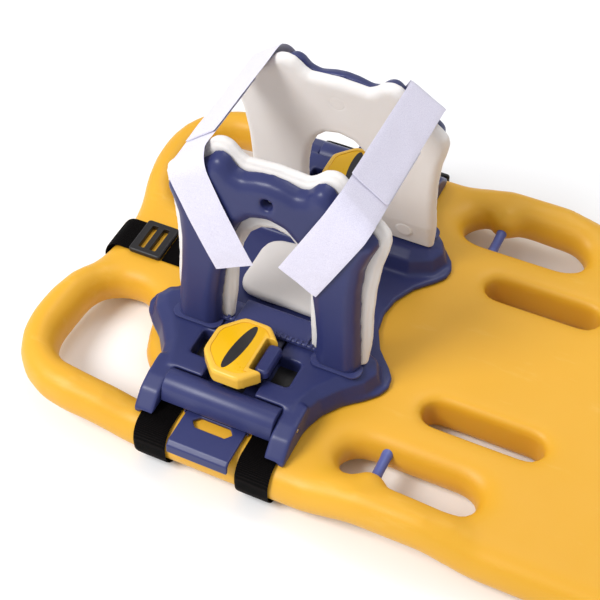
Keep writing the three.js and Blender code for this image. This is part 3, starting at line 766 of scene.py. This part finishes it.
def strap_line(layer, tail, reach):
    """Centre points, width directions and normals of one half strap, before the block's lean.

    It starts at the low end of the tail on the block's outer face, folds over the top and runs inwards
    to its free end. Here y rises inwards and is zero on the board's middle plane.
    """
    up = Vector((math.sin(SEAT_SLOPE), 0, math.cos(SEAT_SLOPE)))
    outward = Vector((0, -1, 0))
    seat_z = (SEAT_LEVEL + layer - SEAT_X * up.x) / up.z
    face_y = -BLOCK_FACE - layer / 2
    face_x, face_z = SEAT_X - FOLD_X, seat_z - FOLD_Z
    tail_steps, span_steps = 5, 6
    centres, widths, normals = [], [], []

    def station(x, y, z, slope, normal):
        centres.append(Vector((x, y, z)))
        widths.append(Vector((math.cos(slope), 0, -math.sin(slope))))
        normals.append(normal.normalized())

    for k in range(tail_steps + 1):
        share = 1 - k / tail_steps
        lifted = 0.0012 * math.sin(3.1 * share) + 0.0006 * share
        down = tail * share
        station(face_x - down * math.sin(TAIL_SLOPE), face_y - lifted,
                face_z - down * math.cos(TAIL_SLOPE), TAIL_SLOPE, outward)
    for turn in (0.25, 0.5, 0.75):
        rise, back = math.sin(turn * math.pi / 2), 1 - math.cos(turn * math.pi / 2)
        station(face_x + FOLD_X * rise, face_y + FOLD_DEPTH * back, face_z + FOLD_Z * rise,
                TAIL_SLOPE + (SEAT_SLOPE - TAIL_SLOPE) * turn, outward.lerp(up, turn))
    start, end = face_y + FOLD_DEPTH, reach - LEAN * (seat_z - BLOCK_BOTTOM)
    for k in range(span_steps + 1):
        station(SEAT_X, start + (end - start) * k / span_steps, seat_z, SEAT_SLOPE, up)
    return centres, widths, normals


def head_strap(name, side, sign, foot, layer, tail, reach):
    """One half of a head strap: the chin strap is at the foot side, the forehead strap at the head side."""
    mirror = 1 if foot else -1

    def place_point(v):
        leaning = v.y + LEAN * (v.z - BLOCK_BOTTOM)
        return Vector((mirror * v.x + ARCH_X, leaning * -sign, v.z))

    def place_direction(v):
        return Vector((mirror * v.x, (v.y + LEAN * v.z) * -sign, v.z)).normalized()

    centres, widths, normals = (catmull(rows, 7) for rows in strap_line(layer, tail, reach))
    strap = band_mesh(
        name, [place_point(v) for v in centres], [place_direction(v) for v in widths],
        [place_direction(v) for v in normals], STRAP_WIDTH, STRAP_THICKNESS,
        ripple=0.0004, seed=layer * 1000 + foot * 7,
    )
    kind = "chin" if foot else "forehead"
    finish_piece(strap, f"{side}_block", "white_strap", "white_strap", f"{side}_{kind}_strap", auto_angle=60)


def build_head_straps():
    """The left half of each strap lies one layer higher, over the right half."""
    upper_layer = 0.0019
    right_reach, left_reach = 0.022, 0.050
    head_strap("chin_strap_right", "right", -1, True, 0.0, 0.078, right_reach)
    head_strap("chin_strap_left", "left", 1, True, upper_layer, 0.078, left_reach)
    head_strap("forehead_strap_right", "right", -1, False, 0.0, 0.086, right_reach)
    head_strap("forehead_strap_left", "left", 1, False, upper_layer, 0.070, left_reach)


# ---------------------------------------------------------------- webbing
BOARD_HALF, BOARD_TOP, BOARD_BOTTOM = 0.203, 0.048, 0.005
EDGE_INSET, EDGE_HEIGHT = 0.015, 0.019
WEBBING_THICKNESS, WEBBING_GAP = 0.0014, 0.0015


def edge_curve(outermost, steps=14):
    """Section of a rail from the deck round to the underside: (distance out, height, outward normal)."""
    path = []
    for sign in (1, -1):
        base = BOARD_TOP - EDGE_HEIGHT if sign > 0 else BOARD_BOTTOM + EDGE_HEIGHT
        for k in range(steps + 1):
            t = k / steps if sign > 0 else 1 - k / steps
            angle = t * math.pi / 2
            out = outermost - EDGE_INSET * (1 - math.sin(angle))
            height = base + sign * EDGE_HEIGHT * math.cos(angle)
            normal = Vector((math.sin(angle) / EDGE_INSET, 0, math.cos(angle) * sign / EDGE_HEIGHT))
            normal.normalize()
            path.append((out + WEBBING_GAP * normal.x, height + WEBBING_GAP * normal.z, normal))
    return path


def build_cross_strap(node, name):
    """Webbing round the board, from beside one latch under the board to the other."""
    start, turn = 0.1415, BOARD_HALF - EDGE_INSET
    top_steps, bottom_steps = 8, 20
    top, bottom = BOARD_TOP + WEBBING_GAP, BOARD_BOTTOM - WEBBING_GAP
    up, down = Vector((0, 0, 1)), Vector((0, 0, -1))
    low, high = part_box(node)
    middle = (low.x + high.x) / 2
    edge = edge_curve(BOARD_HALF)
    line = [(start + (turn - start) * k / top_steps, top, up) for k in range(top_steps)]
    line += [(out, height, Vector((0, n.x, n.z))) for out, height, n in edge]
    line += [(turn - 2 * turn * k / bottom_steps, bottom, down) for k in range(1, bottom_steps)]
    line += [(-out, height, Vector((0, -n.x, n.z))) for out, height, n in reversed(edge)]
    line += [(-turn + (turn - start) * k / top_steps, top, up) for k in range(1, top_steps + 1)]
    centres = [Vector((middle, y, z)) for y, z, _ in line]
    normals = [normal for _, _, normal in line]
    acrosses = [Vector((1, 0, 0))] * len(line)
    strap = band_mesh(name, centres, acrosses, normals, high.x - low.x, WEBBING_THICKNESS,
                      columns=18, ripple=0.0002)
    finish_piece(strap, "board", "cross_webbing", "black_webbing", node, auto_angle=60)


def build_end_straps():
    """The head-end strap goes round the head-end rail; the short anchor strap lies on the deck."""
    rail_inset, start_inset, underside_run = 0.016, 0.0435, 0.116
    top_steps, bottom_steps, anchor_steps = 5, 13, 12
    up, down, across = Vector((0, 0, 1)), Vector((0, 0, -1)), Vector((0, 1, 0))
    head = -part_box("board_shell")[1].x
    low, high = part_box("head_end_strap")
    width = high.y - low.y
    middle = (low.y + high.y) / 2
    start, turn = head + start_inset, head + rail_inset + EDGE_INSET
    line = [(start + (turn - start) * k / top_steps, BOARD_TOP + WEBBING_GAP, up) for k in range(top_steps)]
    line += [(-out, height, Vector((-n.x, 0, n.z))) for out, height, n in edge_curve(-(head + rail_inset))]
    line += [(turn + underside_run * k / bottom_steps, BOARD_BOTTOM - WEBBING_GAP, down)
             for k in range(1, bottom_steps + 1)]
    centres = [Vector((x, middle, z)) for x, z, _ in line]
    normals = [normal for _, _, normal in line]
    strap = band_mesh("end_strap", centres, [across] * len(line), normals, width, WEBBING_THICKNESS,
                      columns=18, ripple=0.0002)
    finish_piece(strap, "board", "end_webbing", "black_webbing", "head_end_strap", auto_angle=60)
    low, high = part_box("head_end_anchor_strap")
    count = anchor_steps + 1
    centres = [Vector((low.x + (high.x - low.x) * k / anchor_steps, middle, (low.z + high.z) / 2))
               for k in range(count)]
    anchor = band_mesh("anchor_strap", centres, [across] * count, [up] * count, width, WEBBING_THICKNESS,
                       columns=18)
    finish_piece(anchor, "board", "end_webbing", "black_webbing", "head_end_anchor_strap", auto_angle=60)


def build_buckles():
    for node, name in (("head_end_buckle", "end_buckle"), ("side_strap_slider", "side_slider")):
        buckle = joined_copy(name, node)
        remeshed(buckle, voxel=0.0006, passes=4)
        finish_piece(buckle, "board", "black_plastic", "black_plastic", node)


# ---------------------------------------------------------------- stage
def build_stage():
    """A plain pale floor, 24 m wide."""
    bm = bmesh.new()
    bmesh.ops.create_grid(bm, x_segments=2, y_segments=2, size=12)
    floor = mesh_object("floor", bm)
    s = Shader("floor", 0.7)
    s.colour((0.92, 0.92, 0.92))
    floor.data.materials.append(s.material)


def area_light(name, place, aim, size, power):
    """A round softbox at a place, turned to its aim."""
    light = bpy.data.lights.new(name, "AREA")
    light.shape = "DISK"
    light.size = size
    light.energy = power
    made = new_object(name, light)
    made.location = place
    made.rotation_euler = (aim - place).to_track_quat("-Z", "Y").to_euler()


def build_lights():
    world = bpy.data.worlds.new("studio")
    world.use_nodes = True
    background = world.node_tree.nodes["Background"]
    background.inputs["Color"].default_value = (0.96, 0.97, 1.0, 1.0)
    background.inputs["Strength"].default_value = 0.62
    bpy.context.scene.world = world
    aim = Vector((CENTRE_X, 0, 0.1))
    area_light("key", aim + Vector((-1.0, -1.3, 1.9)), aim, size=1.1, power=50)
    area_light("top", aim + Vector((0.3, 1.0, 2.2)), aim, size=1.3, power=14)
    view = bpy.context.scene.view_settings
    view.view_transform = "Standard"
    view.exposure = 0.0


def build_camera():
    """Stands to the patient's right and above, looking at the head end."""
    azimuth, elevation, roll = math.radians(25.7), math.radians(48.6), math.radians(-0.6)
    distance, target = 1.2257, Vector((-0.6972, -0.0143, 0.0487))
    forward = Vector((
        -math.sin(azimuth) * math.cos(elevation),
        math.cos(azimuth) * math.cos(elevation),
        -math.sin(elevation),
    ))
    lens = bpy.data.cameras.new("camera")
    lens.sensor_width = 36
    lens.lens = 80.2
    lens.clip_end = 50
    camera = new_object("camera", lens)
    camera.location = target - forward * distance
    camera.rotation_mode = "QUATERNION"
    rolled = Matrix.Rotation(roll, 3, "Z").to_quaternion()
    camera.rotation_quaternion = forward.to_track_quat("-Z", "Y") @ rolled
    bpy.context.scene.camera = camera


# ---------------------------------------------------------------- assembly
build_board()
build_clip_pins()
build_base()
for side, sign in SIDES:
    build_lever(side, sign)
    build_latch(side)
    build_block(side, sign)
    build_knob(side, sign)
build_head_straps()
build_cross_strap("cross_strap_head_side", "cross_webbing_head")
build_cross_strap("cross_strap_foot_side", "cross_webbing_foot")
build_end_straps()
build_buckles()
build_stage()
build_lights()
build_camera()
